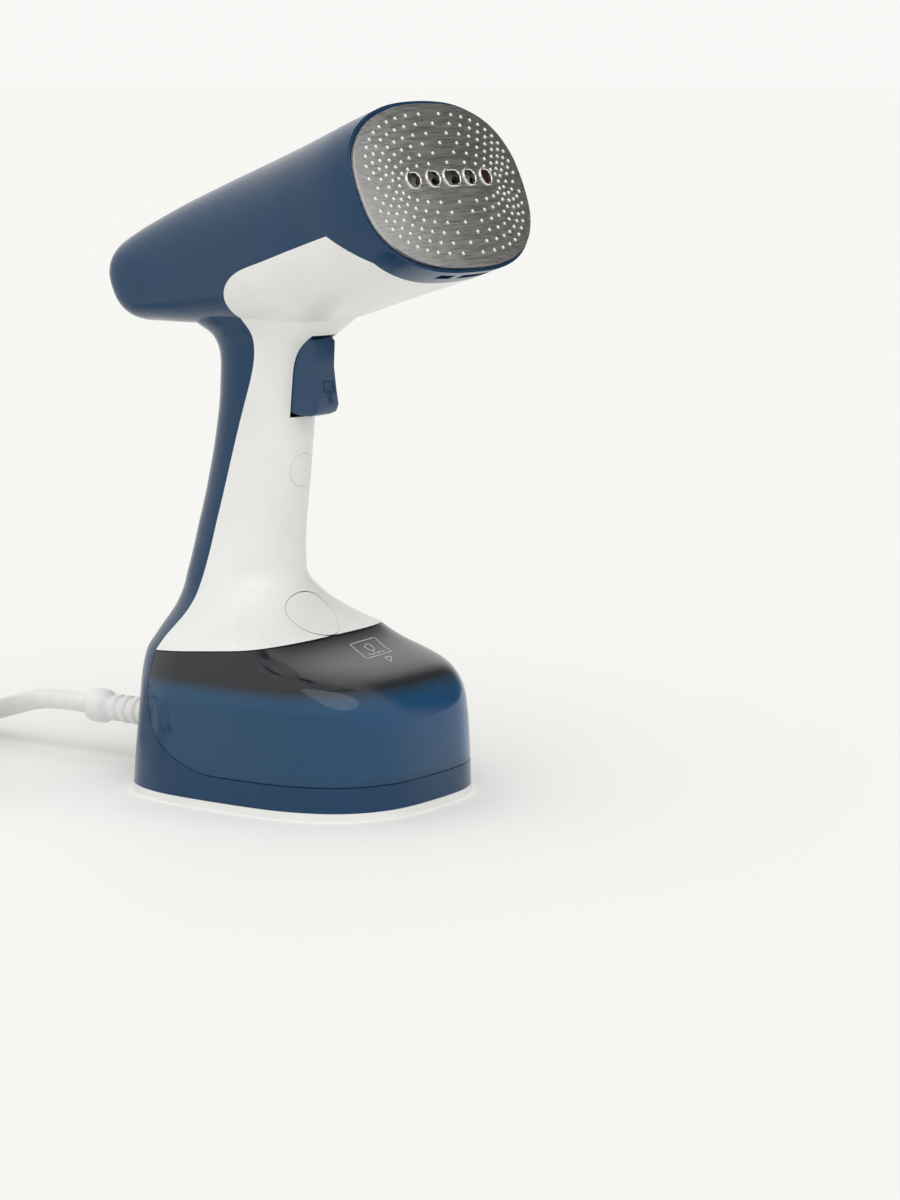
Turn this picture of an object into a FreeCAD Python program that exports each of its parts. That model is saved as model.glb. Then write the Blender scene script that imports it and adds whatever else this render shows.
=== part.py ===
import FreeCAD, Part
import math
import os
import Sketcher
from FreeCAD import Placement, Rotation, Vector

# Handheld garment steamer: blue barrel head with a perforated steam plate, white grip with a
# trigger, a water tank that slides off forwards, and a base that it stands on.
# Frame: X is the width (the object is symmetrical about X = 0), the plate looks towards -Y, Z is up
# and the base stands on Z = 0. Everything is in millimetres.

os.makedirs("parts", exist_ok=True)
doc = FreeCAD.newDocument("GarmentSteamer")

# ---------------------------------------------------------------- driving sizes
SIZES = {
    "wall": 2.4, "base_half_width": 58.0, "base_front": 66.5, "base_rear": 71.6,
    "plate_thickness": 3.4, "band_top": 14.0, "deck_thickness": 2.0,
    "shoulder_height": 46.0, "foot_radius": 6.0, "foot_thickness": 1.6,
    "head_tilt": 21.5, "head_forward": 76.5, "head_height": 259.3,
    "face_half_width": 57.2, "face_half_height": 35.3, "face_lift": 1.4, "face_crown": 343.0, "face_sheet": 1.6,
    "steam_hole_height": 6.0, "steam_hole_length": 7.6, "centre_hole_length": 10.4,
    "steam_hole_pitch": 12.8, "collar_depth": 17.5, "barrel_length": 172.5,
    "grip_half_width": 18.5, "tank_wall": 2.2, "tank_gap": 0.4, "notch_half_width": 26.0,
    "notch_front": 18.0, "pocket_floor": 58.0, "hub_half_width": 24.5, "hub_front": 20.0,
    "trigger_half_width": 8.25, "trigger_gap": 0.45, "trigger_turn": 8.0,
    "trigger_pivot_y": 4.0, "trigger_pivot_z": 190.0, "pin_radius": 1.5, "pin_length": 24.0,
    "cap_radius": 7.1, "cap_height": 138.0, "cap_gap": 0.15,
    "button_half_width": 15.0, "button_half_height": 9.5, "button_height": 76.5, "button_gap": 0.4,
    "pump_radius": 11.0, "pump_length": 34.0, "tube_radius": 2.5, "loom_radius": 2.6,
    "chamber_half_width": 44.0, "chamber_half_height": 22.0, "chamber_depth": 13.0,
    "lid_thickness": 3.0, "element_radius": 3.2, "shield_thickness": 1.0,
    "cord_radius": 4.5, "cord_length": 3000.0, "exit_height": 23.3, "exit_reach": 70.0,
    "relief_length": 54.0, "coil_outer_turn": 59.0, "coil_layers": 4.0, "layer_turns": 2.25, "tie_thickness": 1.2,
    "tie_width": 12.0, "plug_radius": 18.0, "plug_length": 44.0, "prong_radius": 2.4,
    "prong_length": 19.0, "prong_spacing": 19.0,
}
sheet = doc.addObject("Spreadsheet::Sheet", "Sizes")
for row, (alias, value) in enumerate(SIZES.items(), start=1):
    sheet.set(f"A{row}", alias.replace("_", " "))
    sheet.set(f"B{row}", str(value))
    sheet.setAlias(f"B{row}", alias)
doc.recompute()


def size(alias):
    """The value of one cell of the sheet."""
    return float(sheet.get(alias))


WALL = size("wall")
X_AXIS = Vector(1, 0, 0)
Y_AXIS = Vector(0, 1, 0)
Z_AXIS = Vector(0, 0, 1)
sub_parts = []


# ---------------------------------------------------------------- document helpers
def keep(item, label):
    """Name a finished sub-part and list it for checking and writing."""
    item.Label = label
    sub_parts.append(item)
    return item


def free_form(label, shape, placement=None):
    """A sub-part whose shape no parametric feature gives."""
    item = doc.addObject("Part::Feature", label)
    item.Shape = shape
    if placement:
        item.Placement = placement
    return keep(item, label)


def new_body(label, placement=None):
    """An empty PartDesign body, placed."""
    body = doc.addObject("PartDesign::Body", label)
    if placement:
        body.Placement = placement
    return keep(body, label)


def sketch_on(body, role, offset=0.0):
    """A sketch on one of the body's own origin planes."""
    plane = next(item for item in body.Origin.OriginFeatures if item.Role == role)
    sketch = body.newObject("Sketcher::SketchObject", body.Name + "Sketch")
    sketch.AttachmentSupport = [(plane, "")]
    sketch.MapMode = "FlatFace"
    sketch.AttachmentOffset = Placement(Vector(0, 0, offset), Rotation())
    return sketch


def add_circle(sketch, x, y, radius, alias=None):
    """A circle, its radius bound to a cell when an alias is given."""
    index = sketch.addGeometry(Part.Circle(Vector(x, y, 0), Z_AXIS, radius))
    rule = sketch.addConstraint(Sketcher.Constraint("Radius", index, radius))
    if alias:
        sketch.setExpression(f"Constraints[{rule}]", f"Sizes.{alias}")


def add_polygon(sketch, corners):
    """Straight sides through the corners, closed."""
    for start, end in zip(corners, corners[1:] + corners[:1]):
        sketch.addGeometry(Part.LineSegment(Vector(*start, 0), Vector(*end, 0)))


def add_box_outline(sketch, x_low, x_high, y_low, y_high):
    add_polygon(sketch, [(x_low, y_low), (x_high, y_low), (x_high, y_high), (x_low, y_high)])


def pad(body, sketch, length, alias=None, reverse=False, symmetric=False):
    """Pad a sketch, its length bound to a cell when an alias is given."""
    feature = body.newObject("PartDesign::Pad", body.Name + "Pad")
    feature.Profile = sketch
    feature.Length = length
    feature.Reversed = reverse
    feature.Midplane = symmetric
    if alias:
        feature.setExpression("Length", f"Sizes.{alias}")
    return feature


def pocket(body, sketch, length, reverse=False, symmetric=False):
    """Cut a sketch into the body; the volume must drop."""
    doc.recompute()
    before = body.Shape.Volume
    feature = body.newObject("PartDesign::Pocket", body.Name + "Pocket")
    feature.Profile = sketch
    feature.Length = length
    feature.Reversed = reverse
    feature.Midplane = symmetric
    doc.recompute()
    if body.Shape.Volume >= before - 1e-6:
        raise ValueError(f"{body.Label}: a pocket cuts nothing")
    return feature


def revolve(body, sketch, axis="V_Axis"):
    """Turn a sketch once round one of its own axes."""
    feature = body.newObject("PartDesign::Revolution", body.Name + "Turn")
    feature.Profile = sketch
    feature.ReferenceAxis = (sketch, [axis])
    feature.Angle = 360.0
    return feature


def cylinder(label, radius_alias, length_alias, start, direction):
    """A round bar bound to two cells."""
    bar = doc.addObject("Part::Cylinder", label)
    bar.setExpression("Radius", f"Sizes.{radius_alias}")
    bar.setExpression("Height", f"Sizes.{length_alias}")
    bar.Placement = Placement(start, Rotation(Z_AXIS, direction))
    return bar


# ---------------------------------------------------------------- shape helpers
def closed_curve(points):
    """A smooth closed curve; every one has the same knots, so that a skin fits through them."""
    knots = [step / len(points) for step in range(len(points) + 1)]
    curve = Part.BSplineCurve()
    curve.interpolate(Points=points, PeriodicFlag=True, Parameters=knots)
    return curve


def oval_points(half_width, low, high, middle, low_power, high_power, count=32):
    """A symmetrical rounded outline: powers above 2 make its low and high ends squarer."""
    points = []
    for step in range(count):
        turn = 2 * math.pi * step / count
        across = math.sin(turn)
        along = -math.cos(turn)
        power = low_power if along < 0 else high_power
        reach = middle - low if along < 0 else high - middle
        u = half_width * math.copysign(abs(across) ** (2 / power), across)
        v = middle + reach * math.copysign(abs(along) ** (2 / power), along)
        points.append((u, v))
    return points


def level_section(z, half_width, front, rear, middle, front_power, rear_power, inset=0.0):
    """A horizontal section of the base, foot or grip."""
    points = oval_points(half_width - inset, front + inset, rear - inset, middle,
                         front_power, rear_power)
    return closed_curve([Vector(x, y, z) for x, y in points])


def skin(curves, reach):
    """A closed solid through section curves, each at its own distance along the form."""
    stops = [place / reach[-1] for place in reach]
    rows = []
    for column in zip(*[curve.getPoles() for curve in curves]):
        line = Part.BSplineCurve()
        line.interpolate(Points=list(column), Parameters=stops)
        rows.append(line.getPoles())
    round_curve = curves[0]
    surface = Part.BSplineSurface()
    surface.buildFromPolesMultsKnots(rows, round_curve.getMultiplicities(), line.getMultiplicities(),
                                     round_curve.getKnots(), line.getKnots(), True, False,
                                     round_curve.Degree, line.Degree)
    side = surface.toShape()
    ends = [Part.Face(Part.Wire([curve.toShape()])) for curve in (curves[0], curves[-1])]
    closed = Part.makeCompound([side] + ends)
    closed.sewShape()
    solid = Part.Solid(closed.Shells[0])
    if solid.Volume < 0:
        solid.reverse()
    return solid


def even_levels(levels, step):
    """The same form at evenly spaced levels, eased between the given ones without overshoot."""
    columns = list(zip(*levels))
    reach = [0.0]
    for before, after in zip(levels, levels[1:]):
        moves = [abs(b - a) for a, b in zip(before, after)]
        reach.append(reach[-1] + math.hypot(moves[0], max(moves[1:])))
    count = max(2, round(reach[-1] / step))
    stops = [reach[-1] * k / count for k in range(count + 1)]
    eased = [eased_values(reach, column, stops) for column in columns]
    return list(zip(*eased)), stops


def eased_values(places, values, stops):
    """Monotone cubic through the values, read at the stops."""
    spans = [b - a for a, b in zip(places, places[1:])]
    slopes = [(b - a) / span for a, b, span in zip(values, values[1:], spans)]
    bends = [slopes[0]]
    for left, right, before, after in zip(slopes, slopes[1:], spans, spans[1:]):
        if left * right <= 0:
            bends.append(0.0)
        else:
            weight_left = 2 * after + before
            weight_right = after + 2 * before
            bends.append((weight_left + weight_right) / (weight_left / left + weight_right / right))
    bends.append(slopes[-1])
    result = []
    for stop in stops:
        k = min(max(0, sum(place <= stop for place in places) - 1), len(spans) - 1)
        t = (stop - places[k]) / spans[k]
        rise = values[k + 1] - values[k]
        ease = t * t * (3 - 2 * t)
        start_bend = t * (1 - t) * (1 - t) * spans[k] * bends[k]
        end_bend = t * t * (t - 1) * spans[k] * bends[k + 1]
        result.append(values[k] + rise * ease + start_bend + end_bend)
    return result


def prism(outline, half_width=90.0):
    """A side outline in Y and Z, run right across the object."""
    points = [Vector(-half_width, y, z) for y, z in outline]
    face = Part.Face(Part.makePolygon(points + points[:1]))
    return face.extrude(Vector(2 * half_width, 0, 0))


def curved_prism(curve_points, closing_points, half_width=90.0):
    """A side region bounded by one smooth curve and then straight sides back to its start."""
    ends = [Vector(-half_width, y, z) for y, z in curve_points]
    corners = [Vector(-half_width, y, z) for y, z in closing_points]
    curve = Part.BSplineCurve()
    curve.interpolate(ends)
    sides = [ends[-1]] + corners + [ends[0]]
    lines = [Part.LineSegment(a, b).toShape() for a, b in zip(sides, sides[1:])]
    face = Part.Face(Part.Wire([curve.toShape()] + lines))
    return face.extrude(Vector(2 * half_width, 0, 0))


def block(x_low, x_high, y_low, y_high, z_low, z_high):
    return Part.makeBox(x_high - x_low, y_high - y_low, z_high - z_low, Vector(x_low, y_low, z_low))


def one_solid(shape, label):
    """The single largest solid of a result; slivers left by a cut are dropped."""
    solids = sorted(shape.Solids, key=lambda solid: solid.Volume)
    if not solids:
        raise ValueError(f"{label}: no solid")
    rest = sum(solid.Volume for solid in solids[:-1])
    if rest > 0.02 * solids[-1].Volume:
        print(f"{label}: {len(solids)} solids, {rest:.1f} mm3 dropped")
    return solids[-1]


# ---------------------------------------------------------------- outer forms
HALF = size("base_half_width")
FRONT = -size("base_front")
REAR = size("base_rear")
SHOULDER = size("shoulder_height")
MIDDLE = 5.0

# height, half width, front, rear: the base and its domed top, up to where the grip's foot meets it
BASE_LEVELS = [
    (3.0, HALF, FRONT, REAR),
    (12.0, HALF - 0.1, FRONT + 0.2, REAR - 0.7),
    (25.0, HALF - 0.2, FRONT + 0.7, REAR - 2.3),
    (SHOULDER - 8, HALF - 0.7, FRONT + 1.9, REAR - 3.8),
    (SHOULDER - 1, HALF - 1.2, FRONT + 3.6, REAR - 4.4),
    (SHOULDER + 6, HALF - 2.4, FRONT + 8.7, REAR - 4.8),
    (SHOULDER + 9, HALF - 3.2, FRONT + 13.6, REAR - 5.0),
    (SHOULDER + 12, HALF - 4.2, FRONT + 23.0, REAR - 5.4),
    (SHOULDER + 16, HALF - 6.0, FRONT + 39.5, REAR - 6.2),
    (SHOULDER + 20, HALF - 8.3, FRONT + 50.5, REAR - 7.4),
    (SHOULDER + 24, HALF - 12.0, FRONT + 57.0, REAR - 8.6),
]
# height, half width, front, rear, powers of the front and rear ends: foot, grip and neck
GRIP_HALF = size("grip_half_width")
BROAD_FRONT = 2.9
GRIP_LEVELS = [
    (SHOULDER + 20, HALF - 8.3, FRONT + 50.5, REAR - 7.4, BROAD_FRONT, 3.0),
    (70.0, 45.0, -9.5, 63.1, 2.6, 2.9),
    (77.0, 35.0, -1.5, 61.8, 2.3, 2.6),
    (84.5, 27.5, 3.4, 60.4, 2.2, 2.4),
    (93.0, 23.0, 6.2, 58.6, 2.1, 2.3),
    (108.0, 20.3, 5.8, 55.3, 2.1, 2.2),
    (130.0, GRIP_HALF + 0.6, 3.2, 49.2, 2.1, 2.2),
    (150.0, GRIP_HALF + 0.2, 1.3, 44.6, 2.1, 2.2),
    (170.0, GRIP_HALF, -0.6, 41.6, 2.1, 2.2),
    (184.0, GRIP_HALF + 0.2, -2.2, 41.0, 2.1, 2.2),
    (191.0, GRIP_HALF + 1.0, -6.0, 42.8, 2.1, 2.2),
    (196.0, GRIP_HALF + 2.6, -12.0, 47.5, 2.1, 2.2),
    (200.0, GRIP_HALF + 5.0, -18.0, 55.0, 2.1, 2.2),
    (210.0, GRIP_HALF + 10.0, -30.0, 64.0, 2.1, 2.2),
]
NARROW_REAR = 3.2


LEVEL_STEP = 6.0


def base_form(inset=0.0):
    """The base and the dome of its tank."""
    levels, reach = even_levels(BASE_LEVELS, LEVEL_STEP)
    return skin([level_section(z, a, front, rear, MIDDLE, BROAD_FRONT, NARROW_REAR, inset)
                 for z, a, front, rear in levels], reach)


def grip_form(inset=0.0):
    """Rear of the base, foot, grip and neck in one; its front half is short below the foot."""
    foot_front = FRONT + 50.5
    levels = [(z, a, foot_front, rear, MIDDLE, BROAD_FRONT, NARROW_REAR)
              for z, a, front, rear in BASE_LEVELS[:-2]]
    foot, ankle = GRIP_LEVELS[0][0], GRIP_LEVELS[4][0]
    for z, a, front, rear, front_power, rear_power in GRIP_LEVELS:
        rise = min(1.0, (z - foot) / (ankle - foot))
        middle = MIDDLE + ((front + rear) / 2 - MIDDLE) * rise
        levels.append((z, a, front, rear, middle, front_power, rear_power))
    levels, reach = even_levels(levels, LEVEL_STEP)
    return skin([level_section(*level, inset) for level in levels], reach)


# The head's own frame: x across, y up the plate, z out of the plate's middle.
HEAD = Placement(Vector(0, -size("head_forward"), size("head_height")),
                 Rotation(X_AXIS, 90 - size("head_tilt")))
# distance behind the plate, half width, top, bottom, powers of the top and bottom
BARREL_END = size("barrel_length")
BARREL_LEVELS = [
    (0.0, 59.2, 38.4, -35.6, 2.5, 2.5),
    (14.0, 58.2, 38.6, -35.2, 2.5, 2.5),
    (45.0, 51.4, 39.0, -33.4, 2.4, 2.4),
    (77.0, 44.2, 39.8, -31.4, 2.3, 2.4),
    (100.0, 38.8, 40.3, -25.2, 2.3, 2.6),
    (120.0, 34.2, 40.4, -17.4, 2.3, 2.8),
    (BARREL_END - 27.5, 28.8, 39.6, -8.0, 2.3, 3.0),
    (BARREL_END - 14, 26.4, 38.4, -2.6, 2.3, 3.0),
    (BARREL_END - 6, 24.4, 36.8, 0.6, 2.3, 2.9),
    (BARREL_END - 2, 21.6, 33.8, 3.4, 2.3, 2.7),
    (BARREL_END, 17.0, 29.4, 7.6, 2.2, 2.4),
]


def barrel_form(inset=0.0, extra=0.0):
    """The tapered barrel; extra starts it further forward, and an inset one stops short of its end."""
    sections = []
    levels, reach = even_levels(BARREL_LEVELS, LEVEL_STEP)
    for back, a, top, bottom, top_power, bottom_power in levels:
        depth = back * (1 - inset / BARREL_END) - extra * (1 - back / BARREL_END)
        points = oval_points(a - inset, bottom + inset, top - inset, (top + bottom) / 2,
                             bottom_power, top_power)
        sections.append(closed_curve([Vector(x, y, -depth) for x, y in points]))
    form = skin(sections, reach)
    form.Placement = HEAD
    return form


def head_slab(front, back):
    """Everything between two depths behind the plate."""
    slab = Part.makeBox(200, 200, back - front, Vector(-100, -100, -back))
    slab.Placement = HEAD
    return slab


# side outlines shared by the housings and the tank
def foot_line(y, gap=0.0):
    """Height of the seam between the grip's foot and the tank, falling towards the rear."""
    return 66.9 - 0.0956 * y - gap


COLLAR_BACK = size("collar_depth")
SADDLE_EDGE = [(-51.5, 240.6), (-38.0, 236.8), (-22.0, 232.0), (-6.0, 227.2), (5.0, 223.6),
               (12.6, 218.6), (16.6, 212.0), (16.0, 205.0), (13.2, 198.5), (13.0, 192.0),
               (14.6, 182.0), (19.2, 166.5), (25.0, 147.5), (30.6, 128.0), (35.8, 108.5),
               (38.6, 95.0), (40.2, 86.0), (41.6, 78.0), (43.6, 70.0)]
SEAM_REAR = (46.2, foot_line(46.2))
TANK_REAR_EDGE = [(46.2, foot_line(46.2)), (47.2, 52.0), (47.2, 44.0), (45.4, 36.0), (40.6, 28.0),
                  (31.5, 21.0), (20.0, 16.2), (8.0, size("band_top"))]


def white_region():
    """The grip shell's part of the side view."""
    corners = [SEAM_REAR, (-120.0, foot_line(-120.0)), (-120.0, 200.0)]
    return curved_prism(SADDLE_EDGE, corners)


def tank_region(inset=0.0):
    """The tank's part of the side view; an inset keeps it off the pieces round it."""
    edge = [(y - inset, z) for y, z in TANK_REAR_EDGE[:-1]]
    edge.append((TANK_REAR_EDGE[-1][0] - inset, TANK_REAR_EDGE[-1][1] + inset))
    edge = [(y, z + inset * 0.5) if z < 40 else (y, z) for y, z in edge[:-1]] + edge[-1:]
    edge[0] = (edge[0][0], foot_line(edge[0][0], inset))
    corners = [(-120.0, size("band_top") + inset), (-120.0, foot_line(-120.0, inset))]
    return curved_prism(edge, corners)


# ---------------------------------------------------------------- housings
BAND_TOP = size("band_top")
NOTCH_HALF = size("notch_half_width")
NOTCH_FRONT = size("notch_front")
TANK_WALL = size("tank_wall")
PIVOT = Vector(0, size("trigger_pivot_y"), size("trigger_pivot_z"))
CAP_MIDDLE = Vector(0, -20, size("cap_height"))
BUTTON_OUT = Vector(0, -1.0, 0.0956).normalize()
BUTTON_MIDDLE = Vector(0, -2.0, size("button_height"))
EXIT_WAY = Y_AXIS
EXIT_POINT = Vector(0, size("exit_reach"), size("exit_height"))


def button_prism(gap):
    """The oval outline of the release button, run through the foot along its press."""
    ring = Part.Ellipse(Vector(0, 0, 0), size("button_half_width") - gap,
                        size("button_half_height") - gap)
    face = Part.Face(Part.Wire([ring.toShape()]))
    bar = face.extrude(Vector(0, 0, 36))
    upright = Rotation(X_AXIS, 90 - math.degrees(math.atan2(BUTTON_OUT.z, -BUTTON_OUT.y)))
    bar.Placement = Placement(BUTTON_MIDDLE - BUTTON_OUT * 12, upright)
    return bar


def collar_inside(grow=0.0):
    """The mouth that the plate sits in, straight back from the face."""
    lift = size("face_lift")
    points = oval_points(size("face_half_width") + grow, lift - size("face_half_height") - grow,
                         lift + size("face_half_height") + grow, lift, 2.5, 2.5)
    face = Part.Face(Part.Wire([closed_curve([Vector(x, y, -40) for x, y in points]).toShape()]))
    bar = face.extrude(Vector(0, 0, 60))
    bar.Placement = HEAD
    return bar


def crown_ball(depth):
    """The ball whose cap is the plate's crown, moved back by a depth."""
    ball = Part.makeSphere(size("face_crown"), Vector(0, 0, -size("face_crown") - depth))
    ball.Placement = HEAD
    return ball


def make_housings():
    """Rear housing and grip shell, cut from one skin so that their faces stay flush."""
    outer = grip_form().fuse(barrel_form())
    inner = grip_form(WALL).fuse(barrel_form(WALL, 3.0))
    shell = outer.cut(inner).cut(head_slab(-20, COLLAR_BACK))
    shell = shell.cut(block(-80, 80, -80, 100, 0, BAND_TOP))
    white = white_region()
    rear = shell.cut(white).cut(tank_region())
    relief_hole = Part.makeCylinder(6.6, 14, EXIT_POINT - EXIT_WAY * 10, EXIT_WAY)
    boss = Part.makeCylinder(4.2, 38, Vector(0, 9.0, size("cap_height")), Y_AXIS)
    boss = boss.common(outer).cut(Part.makeCylinder(1.6, 24, Vector(0, 8.9, size("cap_height")), Y_AXIS))
    rear = one_solid(rear.cut(relief_hole), "rear_housing")
    rear = one_solid(rear.fuse(boss), "rear_housing")
    grip = shell.common(white)
    gap = size("trigger_gap")
    slot_half = size("trigger_half_width") + gap
    grip = grip.cut(block(-slot_half, slot_half, -30, 16, 161.0, 196.0))
    cap_hole = Part.makeCylinder(size("cap_radius") + size("cap_gap"), 40, CAP_MIDDLE, Y_AXIS)
    cap_bar = Part.makeCylinder(size("cap_radius"), 40, CAP_MIDDLE, Y_AXIS)
    cap_zone = block(-10, 10, -20, 12, 120, 160)
    cap = one_solid(grip.common(cap_bar).common(cap_zone), "grip_cap")
    button = one_solid(grip.common(button_prism(size("button_gap"))), "release_button")
    catch = block(-5, 5, -5.2, -3.4, 61.6, 73.2)
    button = one_solid(button.fuse(catch), "release_button")
    grip = grip.cut(cap_hole.common(cap_zone)).cut(button_prism(0.0))
    ears = Part.makeCylinder(3.2, 24, PIVOT - X_AXIS * 12, X_AXIS)
    ears = ears.cut(block(-slot_half, slot_half, -30, 40, 150, 230)).common(outer)
    ears = ears.cut(Part.makeCylinder(size("pin_radius"), 30, PIVOT - X_AXIS * 15, X_AXIS))
    grip = one_solid(one_solid(grip, "grip_shell").fuse(ears), "grip_shell")
    free_form("rear_housing", rear)
    free_form("grip_shell", grip)
    free_form("grip_cap", cap)
    free_form("release_button", button)


def make_collar():
    """Bezel round the plate, with two slots underneath for clip-on accessories."""
    ring = barrel_form().common(head_slab(-1, COLLAR_BACK)).common(crown_ball(1.8))
    ring = ring.cut(collar_inside(0.3).cut(head_slab(9.0, 40)))
    ring = ring.cut(barrel_form(WALL + 3.4, 3.0))
    for x_middle, slot_length in ((-13.0, 10.0), (7.0, 20.0)):
        slot = Part.makeBox(slot_length, 9, 4.4, Vector(x_middle - slot_length / 2, -42, -11.6))
        slot.Placement = HEAD
        ring = ring.cut(slot)
    free_form("collar_ring", one_solid(ring, "collar_ring"))


def make_plate():
    """Convex sheet with a turned-back rim and five rounded steam holes in a row."""
    rim_depth = head_slab(-5, 7.5)
    sheet_metal = size("face_sheet")
    plate = collar_inside().common(rim_depth).common(crown_ball(0.0))
    plate = plate.cut(collar_inside(-sheet_metal).common(crown_ball(sheet_metal)))
    for k in range(-2, 3):
        long_side = size("centre_hole_length") if k == 0 else size("steam_hole_length")
        plate = plate.cut(steam_hole(k * size("steam_hole_pitch"), long_side, 0.0, 20.0))
    free_form("steam_plate", one_solid(plate, "steam_plate"))


def steam_hole(x, long_side, grow, depth):
    """A rounded slot through the plate, just above its middle."""
    radius = size("steam_hole_height") / 2 + grow
    half_run = long_side / 2 - size("steam_hole_height") / 2
    ends = [Part.makeCylinder(radius, depth, Vector(x + side * half_run, 4, -depth + 4))
            for side in (-1, 1)]
    middle = Part.makeBox(2 * half_run, 2 * radius, depth, Vector(x - half_run, 4 - radius, 4 - depth))
    hole = ends[0].fuse(ends[1]).fuse(middle)
    hole.Placement = HEAD
    return hole


# ---------------------------------------------------------------- tank
def notch(grow=0.0):
    """The space at the tank's back that the pump's hub fills."""
    return block(-NOTCH_HALF - grow, NOTCH_HALF + grow, NOTCH_FRONT - grow, 90, 0, 90)


def pocket_space(grow=0.0):
    """Room under the grip's foot for the button's catch and the filler stopper."""
    floor = size("pocket_floor") - grow
    return block(-30 - grow, 30 + grow, -6.5 - grow, 90, floor, 90)


VALVE_HEIGHT = 22.5
FILLER = Vector(0, 8.0, size("pocket_floor"))


def make_tank():
    """Closed clear tank with a notch at its back, a filler hole on top and a valve bore."""
    gap = size("tank_gap")
    outside = base_form().common(tank_region(gap)).cut(notch()).cut(pocket_space())
    inside = base_form(TANK_WALL).common(tank_region(gap + TANK_WALL))
    inside = inside.cut(notch(TANK_WALL)).cut(pocket_space(TANK_WALL))
    inside = inside.common(block(-90, 90, -90, 90, BAND_TOP + gap + TANK_WALL, 64.5))
    tank = outside.cut(inside)
    sleeve = Part.makeCylinder(6.0, 8.0, Vector(0, NOTCH_FRONT - 9.0, VALVE_HEIGHT), Y_AXIS)
    tank = tank.fuse(sleeve)
    tank = tank.cut(Part.makeCylinder(4.1, 12.0, Vector(0, NOTCH_FRONT - 9.5, VALVE_HEIGHT), Y_AXIS))
    tank = tank.cut(Part.makeCylinder(4.0, 8, FILLER - Z_AXIS * 5, Z_AXIS))
    free_form("tank_shell", one_solid(tank, "tank_shell"))


def make_tank_fittings():
    """Filler stopper, outlet valve, its spring and the mesh filter in front of it."""
    body = new_body("filler_stopper", Placement(FILLER, Rotation()))
    outline = sketch_on(body, "XZ_Plane")
    add_polygon(outline, [(0, -3.4), (3.4, -3.4), (3.8, -2.6), (3.8, 0), (6.2, 0), (6.2, 1.4),
                          (2.4, 1.4), (2.4, 3.0), (0, 3.0)])
    revolve(body, outline)
    valve = new_body("outlet_valve", Placement(Vector(0, NOTCH_FRONT - 1.0, VALVE_HEIGHT),
                                               Rotation(X_AXIS, 90)))
    outline = sketch_on(valve, "XZ_Plane")
    add_polygon(outline, [(0, 0), (3.6, 0), (3.6, 2.5), (1.2, 2.5), (1.2, 7.5), (0, 7.5)])
    revolve(valve, outline)
    bellows = new_body("valve_spring", Placement(Vector(0, NOTCH_FRONT - 3.9, VALVE_HEIGHT),
                                                 Rotation(X_AXIS, 90)))
    outline = sketch_on(bellows, "XZ_Plane")
    folds = [(2.9 if k % 2 else 2.0, 0.5 * k) for k in range(9)]
    add_polygon(outline, [(r + 0.35, z) for r, z in folds] + [(r, z) for r, z in reversed(folds)])
    revolve(bellows, outline)
    mesh = new_body("suction_filter", Placement(Vector(0, NOTCH_FRONT - 9.3, VALVE_HEIGHT),
                                                Rotation(X_AXIS, 90)))
    outline = sketch_on(mesh, "XZ_Plane")
    add_polygon(outline, [(0, 0), (5.6, 0), (5.6, 3.0), (4.8, 3.0), (4.8, 0.8), (0, 0.8)])
    revolve(mesh, outline)


# ---------------------------------------------------------------- base
def make_base():
    """Blue tray with the tank's deck, white bottom plate with its rim, and four rubber pads."""
    low = size("plate_thickness")
    deck = BAND_TOP - size("deck_thickness")
    outer = base_form().common(block(-90, 90, -90, 90, low, BAND_TOP))
    room = base_form(WALL).common(block(-90, 90, -90, 90, 0, deck))
    tray = outer.cut(room)
    tray = tray.cut(block(-18, 18, 52, REAR - 4, 0, 30))
    for x, y in SCREW_PLACES:
        tray = tray.fuse(Part.makeCylinder(4.0, deck - low + 0.5, Vector(x, y, low)))
        tray = tray.cut(Part.makeCylinder(1.5, 7.0, Vector(x, y, low - 1)))
    free_form("base_tray", one_solid(tray, "base_tray"))
    rim = level_section(0, HALF + 0.4, FRONT - 0.4, REAR + 0.4, MIDDLE, BROAD_FRONT, NARROW_REAR).toShape()
    floor = Part.Face(Part.Wire([rim])).extrude(Z_AXIS * low)
    for x, y in PAD_PLACES:
        floor = floor.cut(Part.makeCylinder(size("foot_radius"), size("foot_thickness"), Vector(x, y, 0)))
    for x, y in SCREW_PLACES:
        floor = floor.cut(Part.makeCylinder(1.7, 5, Vector(x, y, 0)))
        floor = floor.cut(Part.makeCylinder(3.4, 1.5, Vector(x, y, 0)))
    free_form("base_plate", one_solid(floor, "base_plate"))
    pads = [cylinder(f"pad_{k}", "foot_radius", "foot_thickness", Vector(x, y, 0), Z_AXIS)
            for k, (x, y) in enumerate(PAD_PLACES)]
    keep(joined("foot_pads", pads), "foot_pads")


SCREW_PLACES = ((-38.0, -36.0), (38.0, -36.0), (-44.0, 34.0), (44.0, 34.0))
PAD_PLACES = ((-44.0, -22.0), (44.0, -22.0), (-40.0, 50.0), (40.0, 50.0))


def joined(name, items):
    """Separate like pieces listed as one sub-part."""
    group = doc.addObject("Part::Compound", name)
    group.Links = items
    return group


def screw(name, start, direction, head_radius, shank_radius, length):
    """A pan-head screw: its head's top is at the start and its shank runs along the direction."""
    body = doc.addObject("PartDesign::Body", name)
    body.Placement = Placement(start, Rotation(Z_AXIS, direction))
    outline = sketch_on(body, "XZ_Plane")
    add_polygon(outline, [(0, 0.8), (0.9, 0.8), (0.9, 0), (head_radius, 0), (head_radius, 1.3),
                          (shank_radius, 1.3), (shank_radius, length - 1.2), (0, length)])
    revolve(body, outline)
    return body


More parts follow.
